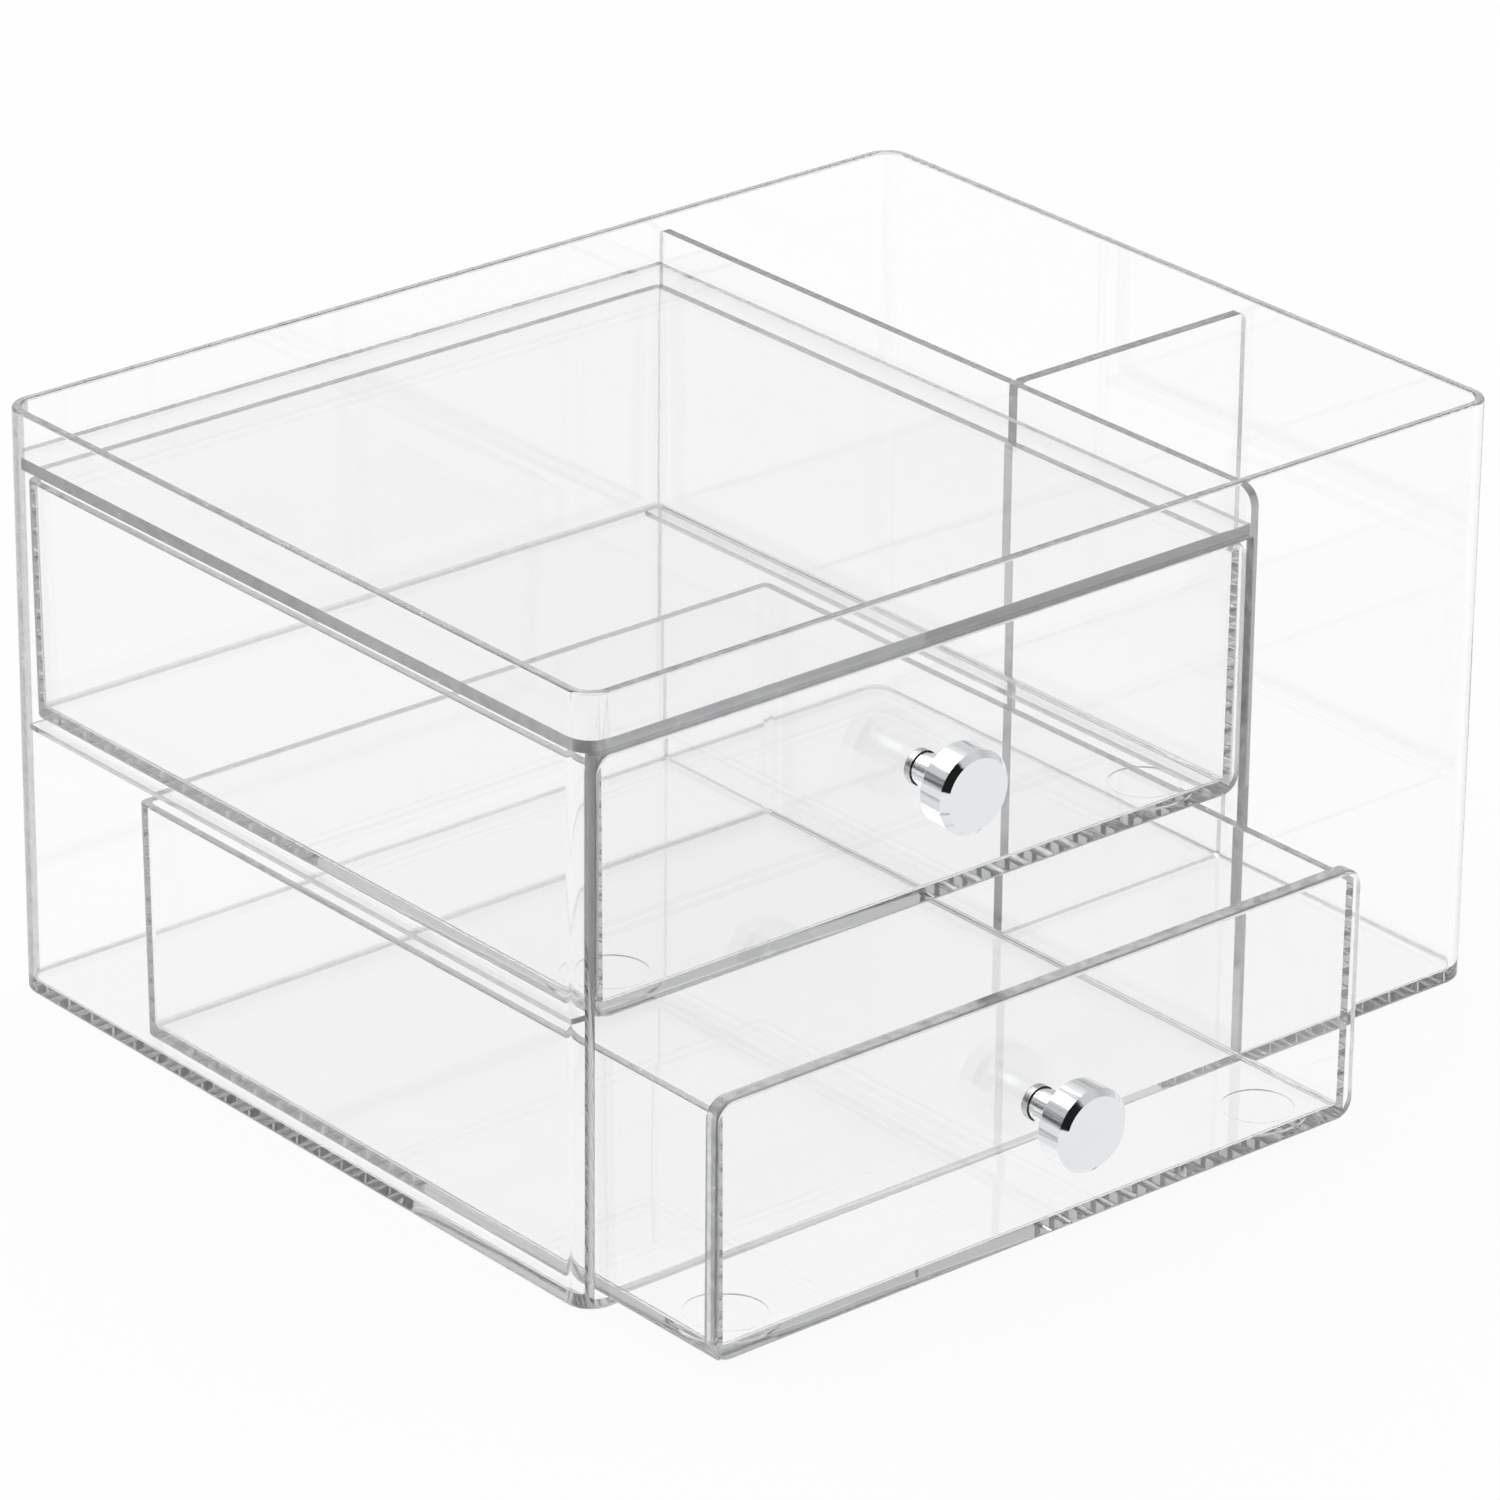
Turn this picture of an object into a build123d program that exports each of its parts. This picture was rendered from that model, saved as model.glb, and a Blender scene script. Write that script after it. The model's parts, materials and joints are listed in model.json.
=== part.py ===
from build123d import *
import os

# Makeup organizer: a clear case, two moulded drawers, chrome knobs.
# Millimetres. Front is -Y, up is +Z, origin under the middle of the footprint.

# case
case_width = 231.5
case_depth = 183.0
case_height = 127.0
case_wall = 2.0
base_thickness = 2.5
case_corner_radius = 6.0
base_edge_radius = 1.0
floor_fillet = 0.8
rim_radius = 0.5
glue_gap = 0.05

# tray over the drawer bay
tray_depth = 10.0
deck_thickness = 2.6

# side bay and its dividers
side_bay_width = 61.2
divider_thickness = 2.0
divider_drop = 3.0
divider_front_radius = 4.0
divider_edge_radius = 1.0
front_compartment_depth = 68.2
cross_thickness = 2.5
cross_corner_radius = 1.5
plate_foot_radius = 1.0

# opening in the front and the rails
opening_post = 0.8
rail_width = 5.6
rail_thickness = 1.2
rail_front_gap = 0.8
rail_back_gap = 1.0
rail_corner_radius = 2.0

# drawers
front_recess = 1.2
front_side_gap = 0.4
drawer_floor_gap = 0.3
drawer_top_gap = 0.4
rail_underside_gap = 1.9
front_thickness = 3.2
front_corner_radius = 4.0
front_edge_radius = 0.8
rim_step = 2.7
box_inset = 0.8
box_draft = 0.45
box_corner_radius = 2.2
drawer_wall = 1.9
drawer_floor = 2.3
box_bottom_radius = 0.9
drawer_floor_fillet = 1.0
cavity_corner_extra = 0.3
drawer_rim_radius = 0.3
drawer_back_gap = 1.7
lower_pull = 35.2
mark_diameter = 14.6
mark_inset = 14.0
mark_depth = 0.3

# knobs and their screws
knob_rise = 0.8
knob_head_diameter = 17.2
knob_head_depth = 7.0
knob_chamfer = 1.25
knob_back_radius = 0.4
knob_neck_diameter = 7.2
knob_neck_length = 6.9
knob_spigot_diameter = 6.4
knob_hole_clearance = 0.1
spigot_shortfall = 0.1
screw_head_diameter = 7.2
screw_head_height = 1.9
screw_head_radius = 0.5
screw_shank_diameter = 3.0
screw_bore_clearance = 0.05
screw_depth = 9.0
recess_width = 0.9
recess_length = 3.8
recess_depth = 1.0

# places that follow from the sizes above
left_x = -case_width / 2
front_y = -case_depth / 2
inner_left = left_x + case_wall
inner_right = case_width / 2 - case_wall
inner_front = front_y + case_wall
inner_back = case_depth / 2 - case_wall
inner_corner_radius = case_corner_radius - case_wall
divider_left = inner_right - side_bay_width - divider_thickness
deck_top = case_height - tray_depth
deck_underside = deck_top - deck_thickness
divider_top = case_height - divider_drop
opening_left = inner_left + opening_post

bay_height = deck_underside - base_thickness
taken_height = 2 * drawer_floor_gap + drawer_top_gap + rail_thickness + rail_underside_gap
front_height = (bay_height - taken_height) / 2
lower_z = base_thickness + drawer_floor_gap
rail_underside = lower_z + front_height + rail_underside_gap
upper_z = rail_underside + rail_thickness + drawer_floor_gap

drawer_left = opening_left + front_side_gap
drawer_right = divider_left - front_side_gap
drawer_middle = (drawer_left + drawer_right) / 2
drawer_width = drawer_right - drawer_left
upper_front = front_y + front_recess
lower_front = upper_front - lower_pull
drawer_length = inner_back - drawer_back_gap - upper_front
cavity_radius = drawer_floor_fillet + cavity_corner_extra
spigot_length = front_thickness - spigot_shortfall
bore_depth = screw_depth + spigot_shortfall

os.makedirs("parts", exist_ok=True)


def round_corner(plan, corner, radius):
    """Round the corner of a sketch that lies nearest to the given point of its plane."""
    fillet(plan.vertices().sort_by_distance(corner)[0], radius)


# The case: walls and base in one, with the opening for both drawers.
with BuildPart() as case_shell:
    with BuildSketch():
        RectangleRounded(case_width, case_depth, case_corner_radius)
    extrude(amount=case_height)
    with BuildSketch(Plane.XY.offset(base_thickness)):
        RectangleRounded(
            case_width - 2 * case_wall, case_depth - 2 * case_wall, inner_corner_radius
        )
    extrude(amount=case_height, mode=Mode.SUBTRACT)
    fillet(case_shell.edges().filter_by_position(Axis.Z, -0.01, 0.01), base_edge_radius)
    floor_loop = case_shell.edges().filter_by_position(
        Axis.Z, base_thickness - 0.01, base_thickness + 0.01
    )
    fillet(floor_loop, floor_fillet)
    rim_loops = case_shell.edges().filter_by_position(
        Axis.Z, case_height - 0.01, case_height + 0.01
    )
    fillet(rim_loops, rim_radius)
    opening_width = divider_left - opening_left
    with BuildSketch(Plane.XY.offset(base_thickness)):
        with Locations((opening_left + opening_width / 2, front_y)):
            Rectangle(opening_width, 2 * case_corner_radius)
    extrude(amount=bay_height, mode=Mode.SUBTRACT)
case_shell.part.label = "case_shell"
export_step(case_shell.part, "parts/case_shell.step")


# The tray deck, bonded to three walls and to the main divider.
deck_left = inner_left + glue_gap
deck_right = divider_left - glue_gap
deck_front = inner_front + glue_gap
deck_back = inner_back - glue_gap
with BuildPart() as tray_deck:
    with BuildSketch(Plane.XY.offset(deck_underside)) as deck_plan:
        with Locations(((deck_left + deck_right) / 2, (deck_front + deck_back) / 2)):
            Rectangle(deck_right - deck_left, deck_back - deck_front)
        fillet(deck_plan.vertices().group_by(Axis.X)[0], inner_corner_radius)
    extrude(amount=deck_thickness)
tray_deck.part.label = "tray_deck"
export_step(tray_deck.part, "parts/tray_deck.step")


# The main divider stands on the base, its front top corner well rounded.
plate_foot = base_thickness + glue_gap
with BuildPart() as main_divider:
    with BuildSketch(Plane.YZ.offset(divider_left)) as divider_side:
        with Locations((0, (plate_foot + divider_top) / 2)):
            Rectangle(deck_back - deck_front, divider_top - plate_foot)
        round_corner(divider_side, (deck_front, divider_top), divider_front_radius)
        round_corner(divider_side, (deck_back, divider_top), divider_edge_radius)
        round_corner(divider_side, (deck_front, plate_foot), plate_foot_radius)
        round_corner(divider_side, (deck_back, plate_foot), plate_foot_radius)
    extrude(amount=divider_thickness)
main_divider.part.label = "main_divider"
export_step(main_divider.part, "parts/main_divider.step")


# The cross divider, between the main divider and the right wall.
cross_left = divider_left + divider_thickness + glue_gap
cross_right = inner_right - glue_gap
cross_front = inner_front + front_compartment_depth
with BuildPart() as cross_divider:
    with BuildSketch(Plane.XZ.offset(-cross_front)) as cross_face:
        with Locations(((cross_left + cross_right) / 2, (plate_foot + divider_top) / 2)):
            Rectangle(cross_right - cross_left, divider_top - plate_foot)
        for side in (cross_left, cross_right):
            round_corner(cross_face, (side, divider_top), cross_corner_radius)
            round_corner(cross_face, (side, plate_foot), plate_foot_radius)
    extrude(amount=-cross_thickness)
cross_divider.part.label = "cross_divider"
export_step(cross_divider.part, "parts/cross_divider.step")


# The rails under the upper drawer. The left one keeps clear of the case's round corners.
def build_rail(wall_side, free_side, rail_front, rail_back):
    with BuildPart() as rail:
        with BuildSketch(Plane.XY.offset(rail_underside)) as rail_plan:
            with Locations(((wall_side + free_side) / 2, (rail_front + rail_back) / 2)):
                Rectangle(rail_width, rail_back - rail_front)
            round_corner(rail_plan, (free_side, rail_front), rail_corner_radius / 2)
            round_corner(rail_plan, (free_side, rail_back), rail_corner_radius)
        extrude(amount=rail_thickness)
    return rail.part


left_front = front_y + case_corner_radius
left_back = inner_back - inner_corner_radius
left_rail = build_rail(deck_left, deck_left + rail_width, left_front, left_back)
left_rail.label = "left_rail"
export_step(left_rail, "parts/left_rail.step")

right_front = upper_front + front_thickness + rail_front_gap
right_back = inner_back - rail_back_gap
right_rail = build_rail(deck_right, deck_right - rail_width, right_front, right_back)
right_rail.label = "right_rail"
export_step(right_rail, "parts/right_rail.step")


# A drawer: flat front panel, drafted box behind it, rim a step below the panel.
def box_plan(height, inset, radius, plan_front, plan_back):
    with BuildSketch(Plane.XY.offset(height)) as plan:
        with Locations((drawer_middle, (plan_front + plan_back) / 2)):
            Rectangle(drawer_width - 2 * inset, plan_back - plan_front)
        fillet(plan.vertices().group_by(Axis.Y)[-1], radius)
    return plan.sketch


def knob_plane(panel_front, bottom_z):
    knob_z = bottom_z + front_height / 2 + knob_rise
    return Plane(origin=(drawer_middle, panel_front, knob_z), x_dir=(1, 0, 0), z_dir=(0, -1, 0))


def edges_at(solid, height):
    return solid.edges().filter_by_position(Axis.Z, height - 0.01, height + 0.01)


def build_drawer(panel_front, bottom_z):
    panel_back = panel_front + front_thickness
    box_front = panel_front + front_thickness / 4
    box_back = panel_front + drawer_length
    floor_z = bottom_z + drawer_floor
    rim_z = bottom_z + front_height - rim_step
    floor_draft = box_draft * (rim_z - floor_z) / (rim_z - bottom_z)
    inner_inset = box_inset + drawer_wall
    inner_back_y = box_back - drawer_wall

    with BuildPart() as box:
        foot_inset = box_inset + box_draft
        foot = box_plan(bottom_z, foot_inset, box_corner_radius, box_front, box_back - box_draft)
        rim = box_plan(rim_z, box_inset, box_corner_radius, box_front, box_back)
        loft([foot, rim])
        fillet(edges_at(box, bottom_z), box_bottom_radius)

    with BuildPart() as drawer:
        with BuildSketch(Plane.XZ.offset(-panel_front)):
            with Locations((drawer_middle, bottom_z + front_height / 2)):
                RectangleRounded(drawer_width, front_height, front_corner_radius)
        extrude(amount=-front_thickness)
        fillet(drawer.edges().group_by(Axis.Y)[0], front_edge_radius)
        add(box.part)

        floor_inset = inner_inset + floor_draft
        cavity_back = inner_back_y - floor_draft
        cavity_foot = box_plan(floor_z, floor_inset, cavity_radius, panel_back, cavity_back)
        cavity_rim = box_plan(rim_z, inner_inset, cavity_radius, panel_back, inner_back_y)
        loft([cavity_foot, cavity_rim], mode=Mode.SUBTRACT)
        fillet(edges_at(drawer, floor_z), drawer_floor_fillet)
        rim_edges = edges_at(drawer, rim_z).filter_by(
            lambda edge: edge.center().Y > panel_back + drawer_wall
        )
        fillet(rim_edges, drawer_rim_radius)

        with BuildSketch(knob_plane(panel_front, bottom_z)):
            Circle(knob_spigot_diameter / 2 + knob_hole_clearance)
        extrude(amount=-2 * front_thickness, mode=Mode.SUBTRACT)

        with BuildSketch(Plane.XY.offset(bottom_z)):
            mark_reach = drawer_width / 2 - mark_inset
            with Locations(
                (drawer_middle - mark_reach, panel_front + mark_inset),
                (drawer_middle + mark_reach, panel_front + mark_inset),
            ):
                Circle(mark_diameter / 2)
        extrude(amount=mark_depth, mode=Mode.SUBTRACT)
    return drawer.part


# A knob: chamfered head on a neck, spigot through the panel, bored for its screw.
def build_knob(panel_front, bottom_z):
    base = knob_plane(panel_front, bottom_z)
    with BuildPart() as knob:
        with BuildSketch(base.offset(knob_neck_length)):
            Circle(knob_head_diameter / 2)
        extrude(amount=knob_head_depth)
        chamfer(knob.edges().group_by(Axis.Y)[0], knob_chamfer)
        fillet(knob.edges().group_by(Axis.Y)[-1], knob_back_radius)
        with BuildSketch(base):
            Circle(knob_neck_diameter / 2)
        extrude(amount=knob_neck_length)
        with BuildSketch(base.offset(-spigot_length)):
            Circle(knob_spigot_diameter / 2)
        extrude(amount=spigot_length)
        with BuildSketch(base.offset(-spigot_length)):
            Circle(screw_shank_diameter / 2 + screw_bore_clearance)
        extrude(amount=bore_depth, mode=Mode.SUBTRACT)
    return knob.part


# The screw of a knob: low cylinder head with a cross recess, inside the drawer.
def build_screw(panel_front, bottom_z):
    seat = knob_plane(panel_front, bottom_z).offset(-front_thickness)
    with BuildPart() as screw:
        with BuildSketch(seat):
            Circle(screw_head_diameter / 2)
        extrude(amount=-screw_head_height)
        fillet(screw.edges().group_by(Axis.Y)[-1], screw_head_radius)
        with BuildSketch(seat):
            Circle(screw_shank_diameter / 2)
        extrude(amount=screw_depth)
        with BuildSketch(seat.offset(-screw_head_height)):
            Rectangle(recess_length, recess_width)
            Rectangle(recess_width, recess_length)
        extrude(amount=recess_depth, mode=Mode.SUBTRACT)
    return screw.part


places = {"upper": (upper_front, upper_z), "lower": (lower_front, lower_z)}
for level, (panel_front, bottom_z) in places.items():
    drawer = build_drawer(panel_front, bottom_z)
    drawer.label = level + "_drawer"
    export_step(drawer, "parts/" + level + "_drawer.step")
    knob = build_knob(panel_front, bottom_z)
    knob.label = level + "_knob"
    export_step(knob, "parts/" + level + "_knob.step")
    screw = build_screw(panel_front, bottom_z)
    screw.label = level + "_knob_screw"
    export_step(screw, "parts/" + level + "_knob_screw.step")
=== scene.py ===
import json
import math

import bpy
import numpy as np
from mathutils import Matrix, Vector
from mathutils.bvhtree import BVHTree


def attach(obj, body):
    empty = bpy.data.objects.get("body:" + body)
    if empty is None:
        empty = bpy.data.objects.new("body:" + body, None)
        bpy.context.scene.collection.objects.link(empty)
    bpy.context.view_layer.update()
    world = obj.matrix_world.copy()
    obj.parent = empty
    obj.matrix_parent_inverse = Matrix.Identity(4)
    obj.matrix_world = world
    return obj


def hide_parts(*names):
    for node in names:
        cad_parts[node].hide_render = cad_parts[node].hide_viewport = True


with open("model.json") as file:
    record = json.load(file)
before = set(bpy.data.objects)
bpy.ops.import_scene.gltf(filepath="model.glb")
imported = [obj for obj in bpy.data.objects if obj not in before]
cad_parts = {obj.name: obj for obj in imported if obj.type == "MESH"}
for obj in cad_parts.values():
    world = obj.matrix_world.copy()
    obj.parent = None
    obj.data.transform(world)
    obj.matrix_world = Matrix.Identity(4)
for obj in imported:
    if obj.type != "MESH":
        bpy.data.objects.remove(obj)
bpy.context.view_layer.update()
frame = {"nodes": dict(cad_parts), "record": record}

scene = bpy.context.scene

# the photograph's width and the fitted camera's focal length, both in its pixels
PHOTO_PIXELS = 1500.0
FOCAL_PIXELS = 8405.2
SENSOR_WIDTH = 36.0

# plastic, with its painted edge shade and noise cells to the metre
ACRYLIC_IOR = 1.49
FLAT_TINT = (0.999, 0.999, 0.999, 1)
# painted shade: the dark and light greys painted on the edges, in place of the grey that light
# running along a sheet shows
EDGE_SHADE_DARK = (0.50, 0.51, 0.52, 1)
EDGE_SHADE_LIGHT = (0.86, 0.86, 0.86, 1)
MOTTLE_CELLS = 420.0
WAVE_CELLS = 28.0
WAVE_HEIGHT = 0.00002
BODY_TINT = (0.90, 0.903, 0.906, 1)
DRAWER_TINT_DENSITY = 22.0
CASE_TINT_DENSITY = 14.0
EDGE_CLOUD = 0.28  # share of an edge's light that scatters at its surface

# metal
CHROME_COLOR = (0.79, 0.812, 0.83, 1)
RUB_CELLS = 260.0
ZINC_DARK = (0.44, 0.45, 0.46, 1)
ZINC_LIGHT = (0.68, 0.69, 0.70, 1)
BLOTCH_CELLS = 700.0

# which faces count as edges and take the painted edge shade, in metres and square metres
SHEET_DEPTH = 0.0040
EDGE_FADE = 0.0025
BROAD_FLAT = 0.0015
ROUND_FACET = 6e-5
FRONT_END_SHARE = 0.25
RIM_ROUND_SHARE = 0.6
BACK_CORNER_Y = 0.0855
UNDER_SURFACE = 2e-5  # where the search for the far side starts

# how finely points and planes are told apart
POINT_STEPS = 1e6  # to the metre
TILT_STEPS = 400
PLANE_STEPS = 5e4  # to the metre
CREASE = 32.0  # degrees

# the light tent's levels beside its plain 1.0, and the lamp's watts
TENT_FRONT_LEVEL = 0.6
TENT_ROOF_LEVEL = 1.5
OPENING_LEVEL = 0.02
SOFTBOX_POWER = 9.0

# the table, in metres
TABLE_HALF = 12.0
TABLE_DROP = 0.0002  # below the case's underside
TABLE_GLOW = 0.94  # share of the table's own white in place of its lit surface

LIGHT_BOUNCES = 160  # light that runs along a sheet is reflected over 75 times


# ---------------------------------------------------------------- camera

def product_camera():
    """The viewpoint of the photograph: a long lens, above the near left corner of the case.

    azimuth, elevation and roll turn the axes, reach is the distance along the line of sight, and
    aside and above shift the camera in its own plane, all from the case's sharp near corner.
    """
    azimuth = math.radians(-40.251)
    elevation = math.radians(24.479)
    roll = math.radians(0.525)
    reach = 1.57577
    aside = 0.030747
    above = 0.106363
    near_corner = Vector((-0.11575, -0.0915, 0.0))
    back = Vector((math.sin(azimuth) * math.cos(elevation),
                   -math.cos(azimuth) * math.cos(elevation),
                   math.sin(elevation)))
    level = Vector((0, 0, 1)).cross(back).normalized()
    upright = back.cross(level)
    right = level * math.cos(roll) + upright * math.sin(roll)
    up = upright * math.cos(roll) - level * math.sin(roll)
    data = bpy.data.cameras.new("product_camera")
    data.sensor_width = SENSOR_WIDTH
    data.lens = SENSOR_WIDTH * FOCAL_PIXELS / PHOTO_PIXELS
    data.clip_end = 50.0
    camera = bpy.data.objects.new("product_camera", data)
    scene.collection.objects.link(camera)
    turn = Matrix((right, up, back)).transposed()
    place = near_corner + back * reach + right * aside + up * above
    camera.matrix_world = Matrix.Translation(place) @ turn.to_4x4()
    scene.camera = camera


# ---------------------------------------------------------------- material helpers

def new_material(name):
    """An empty node material with its output, one Principled shader and its Object coordinates."""
    material = bpy.data.materials.new(name)
    material.use_nodes = True
    tree = material.node_tree
    tree.nodes.clear()
    output = tree.nodes.new("ShaderNodeOutputMaterial")
    shader = tree.nodes.new("ShaderNodeBsdfPrincipled")
    tree.links.new(shader.outputs["BSDF"], output.inputs["Surface"])
    place = tree.nodes.new("ShaderNodeTexCoord")
    return material, output, shader, place.outputs["Object"]


def add(tree, kind, **settings):
    """A node of that kind, with its settings and its plain input values."""
    node = tree.nodes.new(kind)
    for key, value in settings.items():
        if key.startswith("in_"):
            node.inputs[key[3:]].default_value = value
        else:
            setattr(node, key, value)
    return node


def mapped(tree, value, low, high, to_low=0.0, to_high=1.0, **settings):
    """The value brought from low..high to to_low..to_high."""
    node = add(tree, "ShaderNodeMapRange", **settings)
    names = "From Min", "From Max", "To Min", "To Max"
    for name, number in zip(names, (low, high, to_low, to_high)):
        node.inputs[name].default_value = number
    tree.links.new(value, node.inputs["Value"])
    return node.outputs["Result"]


def maths(tree, operation, *values):
    """The result of one Math node. A value is a plain number or another node's output."""
    node = add(tree, "ShaderNodeMath", operation=operation)
    for socket, value in zip(node.inputs, values):
        if isinstance(value, float):
            socket.default_value = value
        else:
            tree.links.new(value, socket)
    return node.outputs[0]


def noise(tree, place, scale, detail, roughness=0.5):
    """Noise at that place, with scale as its cells to the metre."""
    node = add(tree, "ShaderNodeTexNoise", in_Scale=scale, in_Detail=detail, in_Roughness=roughness)
    tree.links.new(place, node.inputs["Vector"])
    return node.outputs["Fac"]


def two_greys(tree, value, low, dark, high, light):
    """A colour that runs from dark at low to light at high."""
    node = tree.nodes.new("ShaderNodeValToRGB")
    for stop, position, color in zip(node.color_ramp.elements, (low, high), (dark, light)):
        stop.position = position
        stop.color = color
    tree.links.new(value, node.inputs["Fac"])
    return node.outputs["Color"]


def clear_acrylic(name, tint_density):
    """Water-clear acrylic with polished flats and satin, faintly mottled edges in a painted grey
    shade.

    The plastic itself takes up a little light, and on the edges a mottled grey is painted into the
    colour as painted shade for the grey that light running along a sheet shows. The attribute
    "edge" is 1 on the narrow faces that look along the sheet and 0 on the flats.
    """
    material, output, shader, place = new_material(name)
    tree = material.node_tree
    shader.inputs["IOR"].default_value = ACRYLIC_IOR
    edge = add(tree, "ShaderNodeAttribute", attribute_name="edge").outputs["Fac"]
    mottle = noise(tree, place, MOTTLE_CELLS, 4.0, 0.65)
    # painted shade: the edges' mottled grey is painted into the base colour here
    edge_shade = two_greys(tree, mottle, 0.35, EDGE_SHADE_DARK, 0.68, EDGE_SHADE_LIGHT)
    tint_and_edge_shade = add(tree, "ShaderNodeMix", data_type="RGBA")
    tint_and_edge_shade.inputs["A"].default_value = FLAT_TINT
    tree.links.new(edge, tint_and_edge_shade.inputs["Factor"])
    tree.links.new(edge_shade, tint_and_edge_shade.inputs["B"])
    tree.links.new(tint_and_edge_shade.outputs["Result"], shader.inputs["Base Color"])
    satin = maths(tree, "MULTIPLY", edge, mapped(tree, mottle, 0.3, 0.75, 0.04, 0.3))
    tree.links.new(satin, shader.inputs["Roughness"])
    clear_share = maths(tree, "MULTIPLY_ADD", edge, -EDGE_CLOUD, 1.0)
    tree.links.new(clear_share, shader.inputs["Transmission Weight"])
    bump = add(tree, "ShaderNodeBump", in_Strength=1.0, in_Distance=WAVE_HEIGHT)
    tree.links.new(noise(tree, place, WAVE_CELLS, 1.0), bump.inputs["Height"])
    tree.links.new(bump.outputs["Normal"], shader.inputs["Normal"])
    body = add(tree, "ShaderNodeVolumeAbsorption", in_Color=BODY_TINT, in_Density=tint_density)
    tree.links.new(body.outputs["Volume"], output.inputs["Volume"])
    return material


def mirror_chrome(name):
    """Bright chrome plate with faint rub marks from fingers."""
    material, _, shader, place = new_material(name)
    tree = material.node_tree
    shader.inputs["Base Color"].default_value = CHROME_COLOR
    shader.inputs["Metallic"].default_value = 1.0
    rub = noise(tree, place, RUB_CELLS, 5.0, 0.6)
    tree.links.new(mapped(tree, rub, 0.35, 0.7, 0.03, 0.14), shader.inputs["Roughness"])
    return material


def zinc_steel(name):
    """Zinc-plated screw steel, slightly blotched."""
    material, _, shader, place = new_material(name)
    tree = material.node_tree
    shader.inputs["Metallic"].default_value = 1.0
    blotch = noise(tree, place, BLOTCH_CELLS, 6.0, 0.7)
    shade = two_greys(tree, blotch, 0.3, ZINC_DARK, 0.7, ZINC_LIGHT)
    tree.links.new(shade, shader.inputs["Base Color"])
    tree.links.new(mapped(tree, blotch, 0.3, 0.7, 0.2, 0.42), shader.inputs["Roughness"])
    return material


# ---------------------------------------------------------------- smooth copies

def mark_edges(mesh, points, triangles, normal, flat_area):
    """Face attribute "edge", which places the painted edge shade: 1 on the narrow faces of a sheet
    and 0 on its broad ones.

    It grows with the depth of plastic straight behind the face, from 0 at a sheet's own thickness
    to 1 where that line runs along inside the sheet, and is 0 on any broad flat. Ends that face
    the front and the small rounds beside a rim count in part, and the tall rounded corners at the
    back left, which show as an outline, count in full, so that painted shade draws that outline.
    """
    tree = BVHTree.FromPolygons(points.tolist(), triangles.tolist())
    middle = points[triangles].mean(1)
    start = middle - normal * UNDER_SURFACE
    depth = np.array([tree.ray_cast(p, -n)[3] or 1.0
                      for p, n in zip(start.tolist(), map(Vector, normal.tolist()))])
    edge = np.clip((depth - SHEET_DEPTH) / EDGE_FADE, 0, 1) * (flat_area < BROAD_FLAT)
    edge = np.where(normal[:, 1] < -0.7, FRONT_END_SHARE * edge, edge)
    rim_round = (flat_area < ROUND_FACET) & (np.abs(normal[:, 2]) > 0.15)
    edge = np.where(rim_round, np.maximum(edge, RIM_ROUND_SHARE), edge)
    # painted shade: the rounded back left corners get the full edge grey, drawn as their outline
    looks_back_left = (normal[:, 0] < -0.03) & (normal[:, 1] > 0.03) & (np.abs(normal[:, 2]) < 0.1)
    edge = np.where(looks_back_left & (middle[:, 1] > BACK_CORNER_Y), 1.0, edge)
    attribute = mesh.attributes.new("edge", "FLOAT", "FACE")
    attribute.data.foreach_set("value", edge.astype(np.float32))


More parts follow.
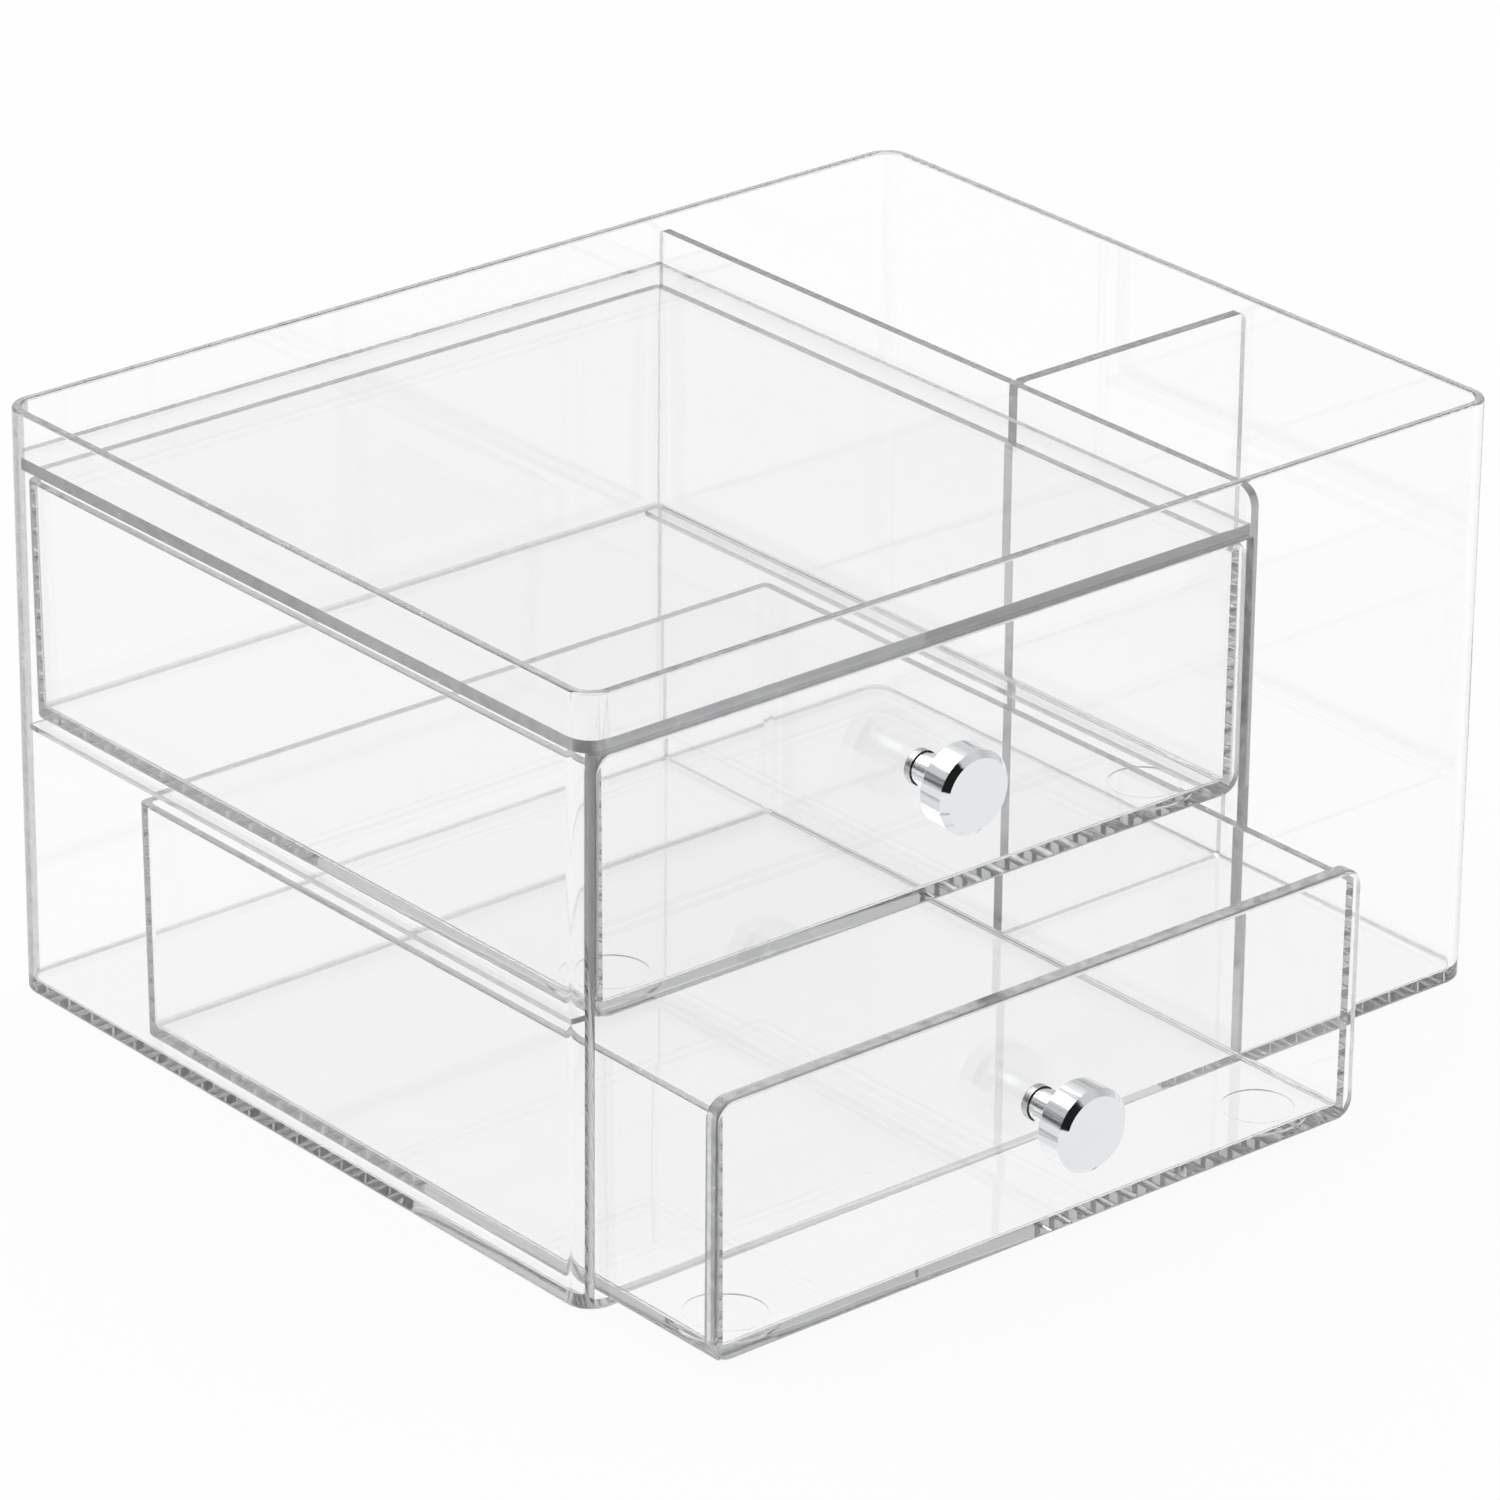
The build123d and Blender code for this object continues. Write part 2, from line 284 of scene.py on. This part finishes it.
def smooth_copy(node):
    """A welded copy of a node's triangles with true surface normals.

    Corners within a thousandth of a millimetre become one point. Each triangle corner's normal is
    the sum of the normals of the triangles round its point that lie within the crease angle of
    its own, each weighted by the area of the whole flat that the triangle belongs to, so a flat
    panel stays optically flat right up to the start of its rounded edge.
    """
    source = frame["nodes"][node].data
    count = len(source.vertices)
    places = np.empty(count * 3)
    source.vertices.foreach_get("co", places)
    places = places.reshape(-1, 3)
    source.calc_loop_triangles()
    corners = np.empty(len(source.loop_triangles) * 3, dtype=np.int64)
    source.loop_triangles.foreach_get("vertices", corners)
    key = np.round(places * POINT_STEPS).astype(np.int64)
    _, first, welded = np.unique(key, axis=0, return_index=True, return_inverse=True)
    triangles = welded.reshape(-1)[corners].reshape(-1, 3)
    points = places[first]
    whole = ((triangles[:, 0] != triangles[:, 1]) & (triangles[:, 1] != triangles[:, 2])
             & (triangles[:, 0] != triangles[:, 2]))
    triangles = triangles[whole]
    a, b, c = (points[triangles[:, i]] for i in range(3))
    cross = np.cross(b - a, c - a)
    length = np.linalg.norm(cross, axis=1)
    normal = cross / np.maximum(length, 1e-20)[:, None]
    plane = (normal * a).sum(1)[:, None]
    flat_key = np.round(np.column_stack([normal * TILT_STEPS, plane * PLANE_STEPS]))
    _, flat = np.unique(flat_key, axis=0, return_inverse=True)
    flat = flat.reshape(-1)
    weight = np.bincount(flat, length)[flat]
    # every pair of triangle corners that share a point
    point = triangles.reshape(-1)
    owner = np.repeat(np.arange(len(triangles)), 3)
    order = np.argsort(point, kind="stable")
    point, owner = point[order], owner[order]
    starts = np.searchsorted(point, np.arange(len(points) + 1))
    sizes = starts[1:] - starts[:-1]
    size = sizes[point]
    left = np.repeat(np.arange(len(point)), size)
    within = np.arange(len(left)) - np.repeat(np.cumsum(size) - size, size)
    right = starts[point[left]] + within
    alike = (normal[owner[left]] * normal[owner[right]]).sum(1)
    close = alike > math.cos(math.radians(CREASE))
    share = normal[owner[right]] * (weight[owner[right]] * close)[:, None]
    total = np.stack([np.bincount(left, share[:, i], len(point)) for i in range(3)], 1)
    total /= np.linalg.norm(total, axis=1)[:, None]
    result = np.empty_like(total)
    result[order] = total
    mesh = bpy.data.meshes.new(node + "_clear")
    mesh.vertices.add(len(points))
    mesh.vertices.foreach_set("co", points.astype(np.float32).reshape(-1))
    mesh.loops.add(len(triangles) * 3)
    mesh.loops.foreach_set("vertex_index", triangles.reshape(-1).astype(np.int32))
    mesh.polygons.add(len(triangles))
    mesh.polygons.foreach_set("loop_start", np.arange(0, len(triangles) * 3, 3, dtype=np.int32))
    mesh.update(calc_edges=True)
    mesh.validate()
    mesh.shade_smooth()
    mesh.normals_split_custom_set(result.tolist())
    mark_edges(mesh, points, triangles, normal, weight / 2)
    piece = bpy.data.objects.new(node + "_finished", mesh)
    scene.collection.objects.link(piece)
    return piece


def finish_node(node, body, material):
    """The node's smooth copy stands for it, on its body and with its finish."""
    piece = smooth_copy(node)
    piece.data.materials.append(material)
    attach(piece, body)
    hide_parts(node)


# ---------------------------------------------------------------- studio

def white_table():
    """A white table that runs to the horizon, with the object's faint shadow on it."""
    far = TABLE_HALF
    corners = [(-far, -far, 0), (far, -far, 0), (far, far, 0), (-far, far, 0)]
    mesh = bpy.data.meshes.new("table_top")
    mesh.from_pydata(corners, [], [(0, 1, 2, 3)])
    table = bpy.data.objects.new("table_top", mesh)
    scene.collection.objects.link(table)
    table.location.z = -TABLE_DROP
    material = bpy.data.materials.new("white_table")
    material.use_nodes = True
    tree = material.node_tree
    tree.nodes.clear()
    output = tree.nodes.new("ShaderNodeOutputMaterial")
    diffuse = add(tree, "ShaderNodeBsdfDiffuse", in_Color=(0.9, 0.9, 0.9, 1))
    glow = add(tree, "ShaderNodeEmission", in_Color=(1, 1, 1, 1), in_Strength=1.0)
    path = tree.nodes.new("ShaderNodeLightPath").outputs
    seen = maths(tree, "MAXIMUM", path["Is Camera Ray"], path["Is Glossy Ray"])
    seen = maths(tree, "MAXIMUM", seen, path["Is Transmission Ray"])
    mix = tree.nodes.new("ShaderNodeMixShader")
    tree.links.new(maths(tree, "MULTIPLY", seen, TABLE_GLOW), mix.inputs[0])
    tree.links.new(diffuse.outputs[0], mix.inputs[1])
    tree.links.new(glow.outputs[0], mix.inputs[2])
    tree.links.new(mix.outputs[0], output.inputs["Surface"])
    mesh.materials.append(material)


def light_tent():
    """A white tent with a brighter roof, a greyer front and two dark openings to the left.

    Its level is worked out from the parts x, y and z of the direction. The openings, one towards
    the viewer's side and one towards the back, give the knobs their dark bands. What the camera
    sees of the tent past the table is plain white.
    """
    world = bpy.data.worlds.new("light_tent")
    scene.world = world
    world.use_nodes = True
    tree = world.node_tree
    tree.nodes.clear()
    output = tree.nodes.new("ShaderNodeOutputWorld")
    tent = tree.nodes.new("ShaderNodeBackground")
    plain = add(tree, "ShaderNodeBackground", in_Color=(1, 1, 1, 1), in_Strength=1.0)
    place = tree.nodes.new("ShaderNodeTexCoord")
    split = tree.nodes.new("ShaderNodeSeparateXYZ")
    tree.links.new(place.outputs["Generated"], split.inputs[0])
    x, y, z = split.outputs

    def slope(value, *numbers):
        return mapped(tree, value, *numbers, interpolation_type="SMOOTHSTEP")

    left = slope(x, 0.12, -0.12)
    ends = slope(maths(tree, "ABSOLUTE", y), 0.3, 0.5)
    under_roof = slope(maths(tree, "MULTIPLY_ADD", y, 0.276, z), 0.60, 0.54)
    over_table = slope(maths(tree, "MULTIPLY_ADD", y, -0.25, z), -0.14, 0.0)
    opening = maths(tree, "MULTIPLY", maths(tree, "MULTIPLY", left, ends),
                    maths(tree, "MULTIPLY", under_roof, over_table))
    front = slope(y, -0.6, 0.1, TENT_FRONT_LEVEL, 1.0)
    roof = slope(z, 0.5, 0.75, 1.0, TENT_ROOF_LEVEL)
    level = add(tree, "ShaderNodeMix", data_type="FLOAT")
    tree.links.new(opening, level.inputs["Factor"])
    tree.links.new(maths(tree, "MULTIPLY", front, roof), level.inputs["A"])
    level.inputs["B"].default_value = OPENING_LEVEL
    tree.links.new(level.outputs["Result"], tent.inputs["Strength"])
    path = tree.nodes.new("ShaderNodeLightPath")
    mix = tree.nodes.new("ShaderNodeMixShader")
    tree.links.new(path.outputs["Is Camera Ray"], mix.inputs[0])
    tree.links.new(tent.outputs[0], mix.inputs[1])
    tree.links.new(plain.outputs[0], mix.inputs[2])
    tree.links.new(mix.outputs[0], output.inputs["Surface"])


def overhead_softbox():
    """A soft rectangular lamp above and behind the object, turned to its middle."""
    light = bpy.data.lights.new("overhead_softbox", "AREA")
    light.shape = "RECTANGLE"
    light.size = 1.5
    light.size_y = 0.9
    light.energy = SOFTBOX_POWER
    lamp = bpy.data.objects.new("overhead_softbox", light)
    lamp.location = (-0.25, 1.45, 1.55)
    aim = Vector((0, 0, 0.06)) - lamp.location
    lamp.rotation_euler = aim.to_track_quat("-Z", "Y").to_euler()
    scene.collection.objects.link(lamp)


# ---------------------------------------------------------------- the part

product_camera()

acrylic = clear_acrylic("clear_acrylic", DRAWER_TINT_DENSITY)
case_acrylic = clear_acrylic("case_acrylic", CASE_TINT_DENSITY)
chrome = mirror_chrome("chrome_plate")
steel = zinc_steel("zinc_steel")

bodies = frame["record"]["behaviour"]["bodies"]
body_of_node = {name: body for body, names in bodies.items() for name in names}
for node in sorted(frame["nodes"]):
    if node.endswith("_screw"):
        slot, material = "screw_steel", steel
    elif node.endswith("_knob"):
        slot, material = "chrome", chrome
    else:
        slot, material = "clear_acrylic", case_acrylic if node == "case_shell" else acrylic
    finish_node(node, body_of_node[node], material)

white_table()
light_tent()
overhead_softbox()

scene.view_settings.view_transform = "Standard"
for kind in ("max_bounces", "transmission_bounces", "glossy_bounces", "transparent_max_bounces"):
    setattr(scene.cycles, kind, LIGHT_BOUNCES)
